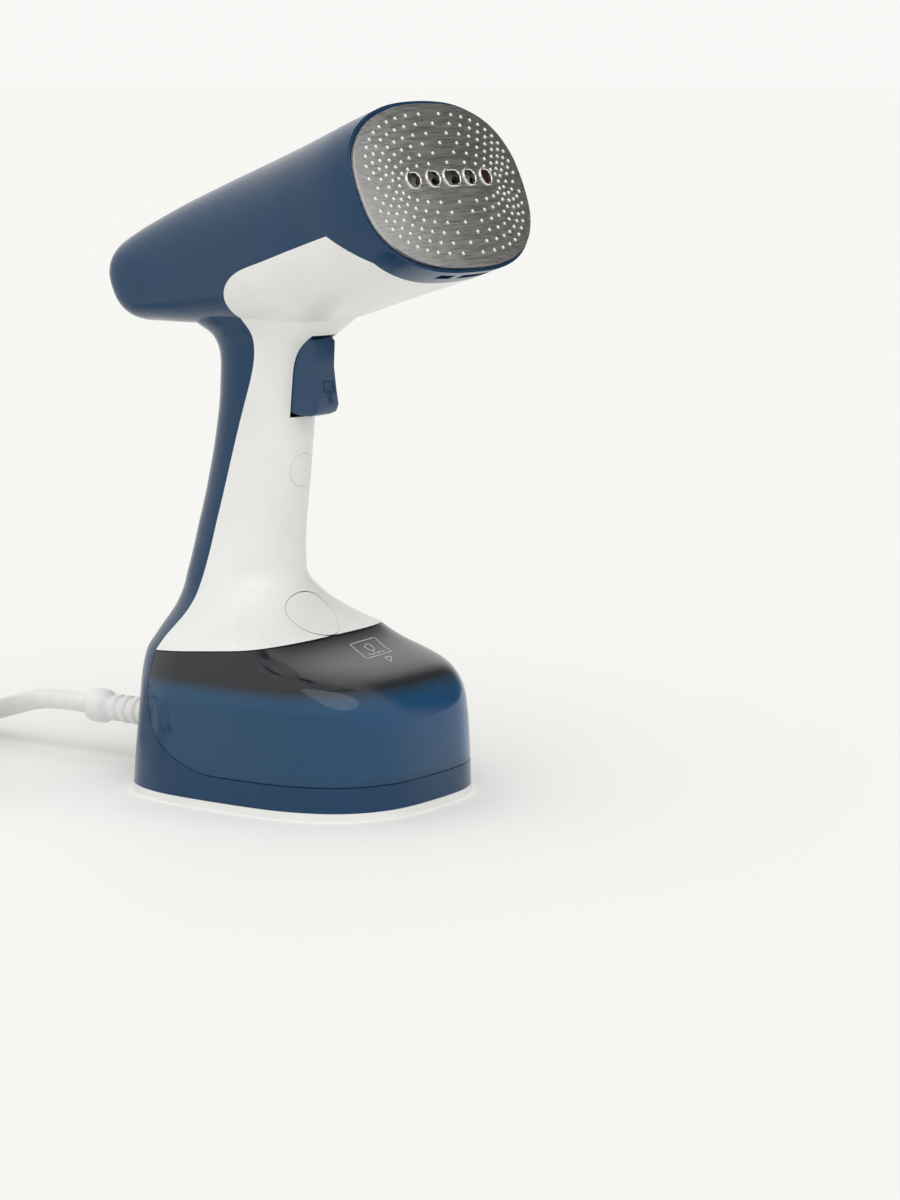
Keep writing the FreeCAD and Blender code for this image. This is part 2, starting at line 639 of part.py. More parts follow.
def make_fasteners():
    base = [screw(f"base_screw_{k}", Vector(x, y, 0.2), Z_AXIS, 3.2, 1.45, 8.0)
            for k, (x, y) in enumerate(SCREW_PLACES)]
    keep(joined("base_screws", base), "base_screws")
    grip = screw("grip_screw", Vector(0, 6.9, size("cap_height")), Y_AXIS, 3.0, 1.5, 18.0)
    keep(grip, "grip_screw")
    head = [screw(f"chamber_screw_{k}", HEAD.multVec(Vector(x, y, -24.3)),
                  HEAD.Rotation.multVec(Z_AXIS), 2.8, 1.4, 16.0)
            for k, (x, y) in enumerate(CHAMBER_SCREWS)]
    keep(joined("chamber_screws", head), "chamber_screws")


CHAMBER_SCREWS = ((-40.0, 0.0), (40.0, 0.0))


# ---------------------------------------------------------------- trigger and switch
def make_trigger():
    """Trigger that turns on a pin at its top and pushes the switch's lever with its nose."""
    half = size("trigger_half_width")
    body = new_body("trigger")
    outline = sketch_on(body, "YZ_Plane")
    add_polygon(outline, [(-7.6, 195.2), (-9.6, 193.0), (-9.1, 182.0), (-10.4, 172.0),
                          (-11.4, 166.2), (-10.2, 163.2), (-7.0, 161.8), (-2.0, 162.0),
                          (7.0, 164.0), (8.6, 166.0), (12.9, 169.2), (12.9, 171.4),
                          (8.6, 174.5), (8.6, 190.0), (6.0, 194.2), (2.0, 195.2)])
    pad(body, outline, 2 * half, symmetric=True)
    bore = sketch_on(body, "YZ_Plane")
    add_circle(bore, PIVOT.y, PIVOT.z, size("pin_radius") + 0.05)
    pocket(body, bore, 40.0, symmetric=True)
    well = sketch_on(body, "XZ_Plane", -3.0)
    add_circle(well, SPRING_PLACE.x, SPRING_PLACE.z, 2.75)
    pocket(body, well, 6.0)
    keep(cylinder("trigger_pin", "pin_radius", "pin_length",
                  PIVOT - X_AXIS * (size("pin_length") / 2), X_AXIS), "trigger_pin")
    coil = Part.Wire(Part.makeHelix(1.5, 8.4, 1.6))
    wire = Part.Wire(Part.Circle(Vector(1.6, 0, 0), Y_AXIS, 0.3).toShape())
    free_form("trigger_spring", coil.makePipeShell([wire], True, True),
              Placement(SPRING_PLACE, Rotation(X_AXIS, 90)))


SWITCH_PIVOT = Vector(0, 14.6, 187.4)
SPRING_PLACE = Vector(5.0, 18.1, 178.0)


def make_switch():
    """Micro switch with ears for its lever, and the lever that hangs in front of it."""
    body = new_body("micro_switch")
    side = sketch_on(body, "YZ_Plane")
    add_box_outline(side, 18.6, 29.0, 163.0, 189.0)
    pad(body, side, 13.0, symmetric=True)
    ears = sketch_on(body, "YZ_Plane")
    add_box_outline(ears, 12.8, 19.0, 185.6, 189.0)
    pad(body, ears, 13.0, symmetric=True)
    gap = sketch_on(body, "YZ_Plane")
    add_box_outline(gap, 10.0, 18.5, 180.0, 192.0)
    pocket(body, gap, 6.4, symmetric=True)
    bore = sketch_on(body, "YZ_Plane")
    add_circle(bore, SWITCH_PIVOT.y, SWITCH_PIVOT.z, 0.65)
    pocket(body, bore, 20.0, symmetric=True)
    lever = new_body("switch_lever")
    eye = sketch_on(lever, "YZ_Plane")
    add_circle(eye, SWITCH_PIVOT.y, SWITCH_PIVOT.z, 1.3)
    pad(lever, eye, 5.6, symmetric=True)
    blade = sketch_on(lever, "YZ_Plane")
    add_box_outline(blade, 13.3, 14.1, 167.0, 187.4)
    pad(lever, blade, 4.4, symmetric=True)
    pin = sketch_on(lever, "YZ_Plane")
    add_circle(pin, SWITCH_PIVOT.y, SWITCH_PIVOT.z, 0.6)
    pad(lever, pin, 12.6, symmetric=True)


# ---------------------------------------------------------------- steam head internals
def head_sheet(label, half_width, half_height, low, high, power=2.6):
    """A flat oval piece inside the head, between two depths."""
    points = oval_points(half_width, -half_height, half_height, 0.0, power, power)
    face = Part.Face(Part.Wire([closed_curve([Vector(x, y, low) for x, y in points]).toShape()]))
    return face.extrude(Vector(0, 0, high - low))


def make_steam_head():
    """Gasket, lid, steam chamber, heating element, thermostat, fuse and heat shield."""
    a = size("chamber_half_width")
    b = size("chamber_half_height")
    back = -10.0 - size("chamber_depth")
    chamber = head_sheet("steam_chamber", a, b, back, -10.0)
    chamber = chamber.cut(head_sheet("room", a - 6, b - 6, back + 5.0, -9.0))
    chamber = chamber.fuse(Part.makeBox(60, 2.4, 6.0, Vector(-30, -6.0, back + 4.5)))
    rod = element_rod(back)
    chamber = chamber.cut(rod)
    inlet = Part.makeCylinder(2.4, 8.0, Vector(-9.0, 6.0, back - 0.5))
    chamber = chamber.cut(inlet)
    lid = head_sheet("chamber_lid", a, b, -10.0, -10.0 + size("lid_thickness"))
    for x, y in CHAMBER_SCREWS:
        chamber = chamber.cut(Part.makeCylinder(1.6, 30, Vector(x, y, -30)))
        lid = lid.cut(Part.makeCylinder(1.4, 30, Vector(x, y, -30)))
    gasket = head_sheet("plate_gasket", 37.0, 17.0, -7.0, -4.2)
    gasket = gasket.cut(head_sheet("hole", 33.0, 13.0, -8.0, -3.0))
    for k in range(-2, 3):
        long_side = size("centre_hole_length") if k == 0 else size("steam_hole_length")
        port = steam_hole(k * size("steam_hole_pitch"), long_side, -0.4, 20.0)
        port.Placement = Placement()
        lid = lid.cut(port)
    free_form("steam_chamber", one_solid(chamber, "steam_chamber"), HEAD)
    free_form("chamber_lid", one_solid(lid, "chamber_lid"), HEAD)
    free_form("plate_gasket", one_solid(gasket, "plate_gasket"), HEAD)
    free_form("heating_element", rod, HEAD)
    thermostat = new_body("thermostat", HEAD)
    disc = sketch_on(thermostat, "XY_Plane", back - 8.0)
    add_circle(disc, 0, 0, 7.5)
    pad(thermostat, disc, 8.0)
    fuse = new_body("thermal_fuse", HEAD)
    barrel = sketch_on(fuse, "YZ_Plane")
    add_circle(barrel, 18.0, back - 2.0, 2.0)
    pad(fuse, barrel, 11.0, symmetric=True)
    shield = head_sheet("heat_shield", 38.0, 17.0, back - 11.0, back - 11.0 + size("shield_thickness"))
    for x, y, radius in ((-9.0, 6.0, 4.2), (4.0, 3.0, 4.0)):
        shield = shield.cut(Part.makeCylinder(radius, 30, Vector(x, y, back - 20)))
    for side in (-1, 1):
        leg = Part.makeBox(5.0, 4.0, 10.2, Vector(side * 34.0 - 2.5, -2.0, back - 10.2))
        shield = shield.fuse(leg)
    free_form("heat_shield", one_solid(shield, "heat_shield"), HEAD)


def element_rod(back):
    """U-shaped heating rod bedded half deep in the chamber's back."""
    reach = 26.0
    bend = 12.0
    low = Part.LineSegment(Vector(-reach, -bend, back), Vector(reach - bend, -bend, back))
    turn = Part.Arc(Vector(reach - bend, -bend, back), Vector(reach, 0, back),
                    Vector(reach - bend, bend, back))
    high = Part.LineSegment(Vector(reach - bend, bend, back), Vector(-reach, bend, back))
    path = Part.Wire([low.toShape(), turn.toShape(), high.toShape()])
    ring = Part.Wire(Part.Circle(Vector(-reach, -bend, back), X_AXIS, size("element_radius")).toShape())
    return path.makePipeShell([ring], True, True)


# ---------------------------------------------------------------- pump, hub and wiring
def make_hub():
    """Upright hub in the tank's notch, the pump inside it and the spigot that meets the valve."""
    half = size("hub_half_width")
    front = size("hub_front")
    low = BAND_TOP
    high = 56.0
    hub = block(-half, half, front, 53.0, low, high)
    hub = hub.cut(block(-half + 2, half - 2, front + 2, 60.0, low - 1, high - 2))
    spigot = Part.makeCylinder(2.9, 3.2, Vector(0, front - 2.7, VALVE_HEIGHT), Y_AXIS)
    hub = hub.fuse(spigot).cut(Part.makeCylinder(1.6, 12, Vector(0, front - 4, VALVE_HEIGHT), Y_AXIS))
    hub = hub.cut(Part.makeCylinder(4.0, 10, Vector(0, 36.0, high - 5), Z_AXIS))
    wall = grip_form(WALL + 0.3).common(tank_back_wall())
    wall = wall.cut(block(-half, half, 0, 90, 0, 100))
    free_form("hub", one_solid(hub.fuse(wall), "hub"))
    pump = new_body("pump", Placement(Vector(0, 36.0, 15.0), Rotation()))
    outline = sketch_on(pump, "XZ_Plane")
    radius = size("pump_radius")
    length = size("pump_length")
    add_polygon(outline, [(0, 0), (radius - 3, 0), (radius, 3), (radius, length - 3),
                          (radius - 3, length), (3.0, length), (3.0, length + 3), (2.0, length + 3),
                          (2.0, length + 8), (0, length + 8)])
    revolve(pump, outline)


def tank_back_wall():
    """A strip just behind the tank's rear edge, up to the seam."""
    edge = [(y + 0.4, z) for y, z in TANK_REAR_EDGE[:5]]
    back = [(y + 2.6, z) for y, z in reversed(TANK_REAR_EDGE[:5])]
    edge[0] = (edge[0][0], 60.0)
    back[-1] = (back[-1][0], 60.0)
    edge.append((32.0, BAND_TOP))
    return prism(edge + [(43.0, BAND_TOP)] + back)


def bent_path(points):
    """Straight runs joined by tangent arcs, as large as the runs allow."""
    edges = []
    radii = []
    start = points[0]
    for before, corner, after in zip(points, points[1:], points[2:]):
        way_in = (corner - before).normalize()
        way_out = (after - corner).normalize()
        turn = way_in.getAngle(way_out)
        shorter = min((corner - before).Length, (after - corner).Length)
        setback = 0.45 * shorter
        radii.append(setback / math.tan(turn / 2))
        arc_start = corner - way_in * setback
        arc_end = corner + way_out * setback
        inward = (way_out - way_in).normalize()
        depth = radii[-1] * (1 / math.cos(turn / 2) - 1)
        edges.append(Part.LineSegment(start, arc_start).toShape())
        edges.append(Part.Arc(arc_start, corner + inward * depth, arc_end).toShape())
        start = arc_end
    edges.append(Part.LineSegment(start, points[-1]).toShape())
    return Part.Wire(edges), radii


def tube(label, points, radius):
    """A round tube along a route; its volume is compared with its section times its length."""
    path, radii = bent_path(points)
    ring = Part.Wire(Part.Circle(points[0], points[1] - points[0], radius).toShape())
    solid = path.makePipeShell([ring], True, False)
    expected = math.pi * radius ** 2 * path.Length
    print(label, "radii", [round(r, 1) for r in radii], "length", round(path.Length, 1),
          "volume ratio", round(solid.Volume / expected, 4))
    return solid, path.Length


def make_lines():
    """Water tube from the pump to the chamber and the wires from the terminals to the thermostat."""
    chamber_back = -10.0 - size("chamber_depth")
    inlet = HEAD.multVec(Vector(-9.0, 6.0, chamber_back - 0.3))
    behind = HEAD.multVec(Vector(-9.0, 6.0, chamber_back - 22.0))
    water = [Vector(0, 36.0, 57.5), Vector(-1, 36, 70), Vector(-6, 36.5, 90), Vector(-7.8, 36.5, 112),
             Vector(-7.8, 33.5, 150), Vector(-4.5, 33.8, 188), Vector(-6.5, 22, 214), behind, inlet]
    solid, length = tube("water_tube", water, size("tube_radius"))
    free_form("water_tube", solid)
    fork = HEAD.multVec(Vector(4.0, 3.0, chamber_back - 22.0))
    contact = HEAD.multVec(Vector(4.0, 3.0, chamber_back - 8.6))
    wires = [Vector(9, 59, 44.6), Vector(9, 57, 62), Vector(8.5, 47, 84), Vector(7.8, 37.5, 112),
             Vector(7.8, 33.5, 150), Vector(4.5, 33.8, 188), Vector(5, 22, 214), fork, contact]
    solid, length = tube("wiring_loom", wires, size("loom_radius"))
    free_form("wiring_loom", solid)
    terminals = new_body("terminal_block")
    outline = sketch_on(terminals, "XY_Plane", 32.0)
    add_box_outline(outline, -16, 16, 54.5, 63.0)
    pad(terminals, outline, 12.0)


# ---------------------------------------------------------------- mains lead
def make_strain_relief():
    """Ribbed, tapering sleeve with a smooth bulge at its end, and the clamp inside the wall."""
    body = new_body("strain_relief", Placement(EXIT_POINT, Rotation(Z_AXIS, EXIT_WAY)))
    long = size("relief_length")
    bore = size("cord_radius")
    corners = [(bore, -6.8), (8.4, -6.8), (8.4, -4.6), (6.5, -4.6), (6.5, 1.0)]
    ribs = 7
    bulge = 11.0
    pitch = (long - bulge - 3.0) / ribs
    for k in range(ribs):
        along = 1.0 + k * pitch
        outer = 6.9 - 0.14 * k
        corners += [(outer, along + 0.6), (outer, along + pitch * 0.62), (outer - 1.1, along + pitch * 0.7),
                    (outer - 1.1, along + pitch)]
    corners += [(7.0, long - bulge), (7.7, long - bulge * 0.7), (7.7, long - bulge * 0.35),
                (6.6, long - 1.0), (bore, long)]
    outline = sketch_on(body, "XZ_Plane")
    add_polygon(outline, corners)
    revolve(body, outline)
    clamp = new_body("cord_clamp")
    bridge = sketch_on(clamp, "XZ_Plane", -61.5)
    add_box_outline(bridge, -11, 11, 28.4, 31.4)
    pad(clamp, bridge, 6.0)


CORD_END = EXIT_POINT + EXIT_WAY * size("relief_length")
COIL_LIFT = size("tie_thickness")
CORD_WIDTH = 2 * size("cord_radius")
COIL_MIDDLE = Vector(-46.0, 232.0, COIL_LIFT)
COIL_OUTER_TURN = size("coil_outer_turn")
COIL_INNER_TURN = COIL_OUTER_TURN - size("layer_turns") * CORD_WIDTH


def make_cord():
    """The lead: inside stub and free run as one tube, the put-away coil, its tie and the plug."""
    radius = size("cord_radius")
    floor = COIL_LIFT + radius
    join = Vector(COIL_MIDDLE.x + COIL_OUTER_TURN, COIL_MIDDLE.y, floor)
    inside = EXIT_POINT - EXIT_WAY * 10.0
    route = [CORD_END, Vector(0.2, 152, 23.6), Vector(4.0, 179, 15.0), Vector(9.5, 207, 7.0), join]
    solid, free_length = tube("power_cord", route, radius)
    stub = Part.makeCylinder(radius, (CORD_END - inside).Length, inside, EXIT_WAY)
    free_form("power_cord", one_solid(solid.fuse(stub), "power_cord"))
    top = floor + (size("coil_layers") - 1) * CORD_WIDTH
    leave = Vector(COIL_MIDDLE.x - COIL_OUTER_TURN, COIL_MIDDLE.y, top)
    plug_back = Vector(-108.5, 165.0, PLUG_AXIS)
    tail = [leave, Vector(-105.6, 215.0, 31.6), Vector(-107.6, 197.0, 27.0),
            Vector(-108.6, 181.0, 20.5), plug_back]
    solid, tail_length = tube("cord_tail", tail, radius)
    free_form("cord_tail", solid)
    outer = COIL_OUTER_TURN + radius
    inner = COIL_INNER_TURN - radius
    height = size("coil_layers") * CORD_WIDTH
    coil = Part.makeCylinder(outer, height, COIL_MIDDLE).cut(Part.makeCylinder(inner, height, COIL_MIDDLE))
    free_form("cord_coil", coil)
    thick = size("tie_thickness")
    strap = Part.makeBox(size("tie_width"), outer - inner + 2 * thick, height + 2 * thick,
                         Vector(-size("tie_width") / 2, inner - thick, -thick))
    strap = strap.cut(Part.makeBox(size("tie_width") + 2, outer - inner, height,
                                   Vector(-size("tie_width") / 2 - 1, inner, 0)))
    free_form("cord_tie", strap, Placement(COIL_MIDDLE, Rotation(Z_AXIS, 30)))
    turns = size("coil_layers") * size("layer_turns") * math.pi * (COIL_OUTER_TURN + COIL_INNER_TURN)
    print("cord length", round(free_length + tail_length + turns))
    make_plug(plug_back)


PLUG_AXIS = size("plug_radius")


def make_plug(back):
    """Generic two-pin earthed plug lying on its side."""
    radius = size("plug_radius")
    long = size("plug_length")
    turned = Rotation(Z_AXIS, Vector(0, -1, 0))
    body = new_body("plug_body", Placement(back, turned))
    outline = sketch_on(body, "XZ_Plane")
    add_polygon(outline, [(0, 0), (5.4, 0), (6.4, 8), (7.0, 14), (11.0, 19), (13.5, 30),
                          (14.5, 34), (radius, 37), (radius, long), (0, long)])
    revolve(body, outline)
    pins = new_body("plug_pins", Placement(back, turned))
    rings = sketch_on(pins, "XY_Plane", long)
    for side in (-1, 1):
        add_circle(rings, side * size("prong_spacing") / 2, 0, size("prong_radius"), "prong_radius")
    pad(pins, rings, size("prong_length"), "prong_length")
    pins.AllowCompound = True


# ---------------------------------------------------------------- build, check, write
make_housings()
make_collar()
make_plate()
make_tank()
make_tank_fittings()
make_base()
make_fasteners()
make_trigger()
make_switch()
make_steam_head()
make_hub()
make_lines()
make_strain_relief()
make_cord()
doc.recompute()

for item in doc.Objects:
    if "Invalid" in item.State or "Error" in item.State:
        raise ValueError(f"{item.Label}: {item.State}")
for item in sub_parts:
    if item.Shape.isNull() or not item.Shape.isValid():
        raise ValueError(f"{item.Label}: bad shape")
for item in sub_parts:
    box = item.Shape.BoundBox
    print(f"{item.Label}: {len(item.Shape.Solids)} solids, {item.Shape.Volume:.0f} mm3, "
          f"{box.XLength:.1f} x {box.YLength:.1f} x {box.ZLength:.1f}")
    item.Shape.exportStep(f"parts/{item.Label}.step")
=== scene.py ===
"""Handheld garment steamer: its finishes, small parts and lead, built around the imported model."""
import math

import bmesh
import bpy
from bpy.props import FloatProperty, FloatVectorProperty, IntProperty, PointerProperty
from mathutils import Matrix, Vector


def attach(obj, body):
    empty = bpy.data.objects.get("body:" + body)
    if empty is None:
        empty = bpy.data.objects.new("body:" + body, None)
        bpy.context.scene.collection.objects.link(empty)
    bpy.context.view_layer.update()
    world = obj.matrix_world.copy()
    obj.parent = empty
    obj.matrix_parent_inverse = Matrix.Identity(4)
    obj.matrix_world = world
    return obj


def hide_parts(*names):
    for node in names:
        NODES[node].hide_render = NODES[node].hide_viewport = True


bl_info = {
    "name": "Garment Steamer",
    "version": (1, 0, 0),
    "blender": (4, 5, 0),
    "location": "View3D > Sidebar > Steamer",
    "description": "Builds the shells, steam plate, trigger, tank marks and mains lead of a steamer",
    "category": "Add Mesh",
}

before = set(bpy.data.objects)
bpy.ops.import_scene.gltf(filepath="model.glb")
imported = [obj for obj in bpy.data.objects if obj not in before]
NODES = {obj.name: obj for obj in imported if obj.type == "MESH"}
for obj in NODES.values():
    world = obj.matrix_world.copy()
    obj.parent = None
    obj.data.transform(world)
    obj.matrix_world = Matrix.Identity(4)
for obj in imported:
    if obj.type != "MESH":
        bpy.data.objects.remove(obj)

# the steam head's own frame: x across the plate, y up it, z out of it
HEAD_TILT = math.radians(21.5)
HEAD = Matrix.Translation((0.0, -0.0765, 0.2593)) @ Matrix.Rotation(math.pi / 2 - HEAD_TILT, 4, "X")
# where the lead leaves the housing, and where its coil lies
CORD_EXIT = Vector((0.0, 0.0700, 0.0233))
EXIT_WAY = Vector((0.0, 1.0, 0.0))
RELIEF_LENGTH = 0.054
COIL_MIDDLE = Vector((-0.046, 0.232, 0.0))
COIL_LAYER_TURNS = 2.25
TIE_THICKNESS = 0.0012
# the plate's crown, its row of steam holes and its rings of dimples
PLATE_CROWN = 0.343
HOLE_PITCH = 0.0128
HOLE_HEIGHT = 0.006
HOLE_RIM = 0.00055
DIMPLE_RINGS = 6
FIRST_RING = (0.0350, 0.0085)
RING_STEP = (0.0032, 0.0043)
# the middle of the filling sign in plan, and the heights where the tank's tint turns smoky
MARK_X, MARK_Y = 0.0093, -0.0262
TINT_BOTTOM, TINT_TOP = 0.044, 0.053
TRIGGER_HALF = 0.00825


# ---------------------------------------------------------------- user values
class SteamerColours(bpy.types.PropertyGroup):
    """Colours of the steamer's main mouldings."""

    navy: FloatVectorProperty(name="Navy shell", description="Colour of the blue mouldings",
                              subtype="COLOR", size=3, min=0, max=1, default=(0.006, 0.040, 0.100))
    white: FloatVectorProperty(name="White grip", description="Colour of the white mouldings",
                               subtype="COLOR", size=3, min=0, max=1, default=(0.80, 0.80, 0.785))
    tank: FloatVectorProperty(name="Tank tint", description="Colour of the clear tank",
                              subtype="COLOR", size=3, min=0, max=1, default=(0.02, 0.16, 0.36))
    steel: FloatVectorProperty(name="Steel plate", description="Colour of the brushed plate",
                               subtype="COLOR", size=3, min=0, max=1, default=(0.62, 0.61, 0.595))
    lead: FloatVectorProperty(name="Lead", description="Colour of the cord and plug",
                              subtype="COLOR", size=3, min=0, max=1, default=(0.82, 0.82, 0.81))


class SteamerSizes(bpy.types.PropertyGroup):
    """Sizes of the small parts."""

    cord_width: FloatProperty(name="Cord diameter", description="Thickness of the mains cord",
                              unit="LENGTH", default=0.009, min=0.004, max=0.012)
    cord_length: FloatProperty(name="Cord length", description="Whole length of the mains cord",
                               unit="LENGTH", default=3.0, min=0.5, max=6.0)
    coil_radius: FloatProperty(name="Coil radius", description="Radius of the coil's outer turn",
                               unit="LENGTH", default=0.059, min=0.04, max=0.1)
    coil_layers: IntProperty(name="Coil layers", description="Layers of turns in the coil",
                             default=4, min=2, max=8)
    dimple_width: FloatProperty(name="Dimple width", description="Width of a raised dimple",
                                unit="LENGTH", default=0.0017, min=0.0005, max=0.004)


class SteamerStage(bpy.types.PropertyGroup):
    """Camera and backdrop."""

    camera_place: FloatVectorProperty(name="Camera", description="Where the camera stands",
                                      subtype="TRANSLATION", unit="LENGTH", size=3,
                                      default=(-1.1245, -0.8614, 0.3080))
    camera_turn: FloatProperty(name="Turn", description="Camera direction in plan, from +X",
                               subtype="ANGLE", unit="ROTATION", default=math.radians(35.0))
    camera_dip: FloatProperty(name="Dip", description="How far the camera looks down",
                              subtype="ANGLE", unit="ROTATION", default=math.radians(9.07))
    camera_lens: FloatProperty(name="Lens", description="Focal length",
                               subtype="DISTANCE_CAMERA", default=100.5, min=20, max=300)


# ---------------------------------------------------------------- helpers
def piece_from(name, mesh, body):
    """A finished mesh as a piece that rides on a body of the frame."""
    piece = bpy.data.objects.new(name, mesh)
    bpy.context.scene.collection.objects.link(piece)
    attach(piece, body)
    return piece


def mesh_from(bm, name, smooth=True, sharp=40.0):
    """A mesh from a bmesh, smooth apart from its sharp edges, with its faces outwards."""
    bmesh.ops.recalc_face_normals(bm, faces=bm.faces)
    for face in bm.faces:
        face.smooth = smooth
    for edge in bm.edges:
        if len(edge.link_faces) == 2 and edge.calc_face_angle(0.0) > math.radians(sharp):
            edge.smooth = False
    mesh = bpy.data.meshes.new(name)
    bm.to_mesh(mesh)
    bm.free()
    return mesh


def turned(name, profile, origin, axis, segments=64):
    """A closed turned form: the profile is (along, radius) pairs from one end to the other."""
    bm = bmesh.new()
    way = Vector(axis).normalized()
    side = way.orthogonal().normalized()
    points = [bm.verts.new(Vector(origin) + way * along + side * radius) for along, radius in profile]
    edges = [bm.edges.new(pair) for pair in zip(points, points[1:])]
    bmesh.ops.spin(bm, geom=points + edges, cent=Vector(origin), axis=way, angle=2 * math.pi,
                   steps=segments, use_merge=True)
    bmesh.ops.remove_doubles(bm, verts=bm.verts, dist=1e-6)
    return mesh_from(bm, name)


def bevelled(bm, edges, width, segments=3):
    """Rounds edges of a bmesh."""
    bmesh.ops.bevel(bm, geom=edges, offset=width, offset_type="OFFSET", affect="EDGES",
                    segments=segments, profile=0.5, material=-1, clamp_overlap=True)


def swept(bm, points, radius, closed=False, sides=8):
    """Runs a round section along a line of points."""
    count = len(points)
    rings = []
    for k, point in enumerate(points):
        before = points[k - 1] if closed or k else point
        after = points[(k + 1) % count] if closed or k < count - 1 else point
        way = (after - before).normalized()
        side = way.cross(Vector((0.0, 0.0, 1.0)))
        if side.length < 0.05:
            side = way.cross(Vector((1.0, 0.0, 0.0)))
        side.normalize()
        up = side.cross(way)
        turns = [2 * math.pi * j / sides for j in range(sides)]
        rings.append([bm.verts.new(point + side * radius * math.cos(t) + up * radius * math.sin(t))
                      for t in turns])
    pairs = list(zip(rings, rings[1:]))
    if closed:
        pairs.append((rings[-1], rings[0]))
    else:
        bm.faces.new(rings[0])
        bm.faces.new(rings[-1])
    for low, high in pairs:
        for j in range(sides):
            bm.faces.new((low[j], low[(j + 1) % sides], high[(j + 1) % sides], high[j]))


def rounded_run(half_run, radius, steps=10):
    """Points of a slot's outline in its own plane."""
    points = []
    for side in (1, -1):
        for k in range(steps + 1):
            turn = math.pi * (k / steps - 0.5)
            points.append((side * (half_run + radius * math.cos(turn)), side * radius * math.sin(turn)))
    return points


def on_plate(x, y, lift=0.0):
    """A point on the steam plate's crown, given across and up the plate."""
    height = math.sqrt(PLATE_CROWN ** 2 - x * x - y * y) - PLATE_CROWN
    return HEAD @ Vector((x, y, height + lift))


def dropped(node, x, y, lift=0.0):
    """The point of a node's upper surface straight under or over a place in plan."""
    item = NODES[node]
    inverse = item.matrix_world.inverted()
    start = inverse @ Vector((x, y, 0.5))
    way = (inverse.to_3x3() @ Vector((0.0, 0.0, -1.0))).normalized()
    found, place, normal, _ = item.ray_cast(start, way)
    if not found:
        raise RuntimeError(f"{node} has no surface at {x}, {y}")
    return item.matrix_world @ (place + normal * lift)


# ---------------------------------------------------------------- materials
def new_finish(name, colour, roughness, metallic=0.0, **extra):
    """A material with its shader's plain numbers set on their own sockets."""
    finish = bpy.data.materials.new(name)
    finish.use_nodes = True
    shader = finish.node_tree.nodes["Principled BSDF"]
    shader.inputs["Base Color"].default_value = (*colour, 1.0)
    shader.inputs["Roughness"].default_value = roughness
    shader.inputs["Metallic"].default_value = metallic
    for socket, value in extra.items():
        shader.inputs[socket.replace("_", " ")].default_value = value
    return finish, finish.node_tree.nodes, finish.node_tree.links, shader


def grain(nodes, links, scale, detail=3.0, stretch=(1.0, 1.0, 1.0), turn=(0.0, 0.0, 0.0)):
    """A noise on the object's own coordinates."""
    place = nodes.new("ShaderNodeTexCoord")
    mapping = nodes.new("ShaderNodeMapping")
    mapping.inputs["Rotation"].default_value = turn
    mapping.inputs["Scale"].default_value = stretch
    noise = nodes.new("ShaderNodeTexNoise")
    noise.inputs["Scale"].default_value = scale
    noise.inputs["Detail"].default_value = detail
    links.new(place.outputs["Object"], mapping.inputs["Vector"])
    links.new(mapping.outputs["Vector"], noise.inputs["Vector"])
    return noise


def spread(nodes, links, source, low, high, socket):
    """Maps a 0 to 1 value onto a range and feeds it to a socket."""
    ramp = nodes.new("ShaderNodeMapRange")
    ramp.inputs["From Min"].default_value = 0.3
    ramp.inputs["From Max"].default_value = 0.7
    ramp.inputs["To Min"].default_value = low
    ramp.inputs["To Max"].default_value = high
    links.new(source, ramp.inputs["Value"])
    links.new(ramp.outputs["Result"], socket)


def tint(nodes, links, source, dark, light, socket):
    """Blends two near colours by a 0 to 1 value."""
    ramp = nodes.new("ShaderNodeValToRGB")
    ramp.color_ramp.elements[0].position = 0.3
    ramp.color_ramp.elements[0].color = (*dark, 1.0)
    ramp.color_ramp.elements[1].position = 0.7
    ramp.color_ramp.elements[1].color = (*light, 1.0)
    links.new(source, ramp.inputs["Fac"])
    links.new(ramp.outputs["Color"], socket)


def relief(nodes, links, source, strength, distance, shader):
    """Bump from a 0 to 1 value."""
    bump = nodes.new("ShaderNodeBump")
    bump.inputs["Strength"].default_value = strength
    bump.inputs["Distance"].default_value = distance
    links.new(source, bump.inputs["Height"])
    links.new(bump.outputs["Normal"], shader.inputs["Normal"])


def scaled(colour, factor):
    """A colour made lighter or darker."""
    return tuple(min(1.0, c * factor) for c in colour)


def moulded(name, colour, roughness, coat=0.0, texture=0.04, **extra):
    """Moulded plastic: faint flow marks in its colour, uneven gloss and a very fine skin."""
    finish, nodes, links, shader = new_finish(name, colour, roughness, Coat_Weight=coat,
                                              Coat_Roughness=0.06, **extra)
    flow = grain(nodes, links, 38.0, 4.0)
    tint(nodes, links, flow.outputs["Fac"], scaled(colour, 0.96), scaled(colour, 1.04),
         shader.inputs["Base Color"])
    spread(nodes, links, flow.outputs["Fac"], roughness * 0.88, roughness * 1.12,
           shader.inputs["Roughness"])
    skin = grain(nodes, links, 900.0, 2.0)
    relief(nodes, links, skin.outputs["Fac"], texture, 0.0001, shader)
    return finish


def metal(name, colour, roughness, stretch=(1.0, 1.0, 1.0), turn=(0.0, 0.0, 0.0), scale=300.0,
          strength=0.12, **extra):
    """Metal with fine working marks drawn out along one direction."""
    finish, nodes, links, shader = new_finish(name, colour, roughness, 1.0, **extra)
    marks = grain(nodes, links, scale, 5.0, stretch, turn)
    tint(nodes, links, marks.outputs["Fac"], scaled(colour, 0.86), scaled(colour, 1.12),
         shader.inputs["Base Color"])
    spread(nodes, links, marks.outputs["Fac"], roughness * 0.8, roughness * 1.2,
           shader.inputs["Roughness"])
    relief(nodes, links, marks.outputs["Fac"], strength, 0.00006, shader)
    return finish


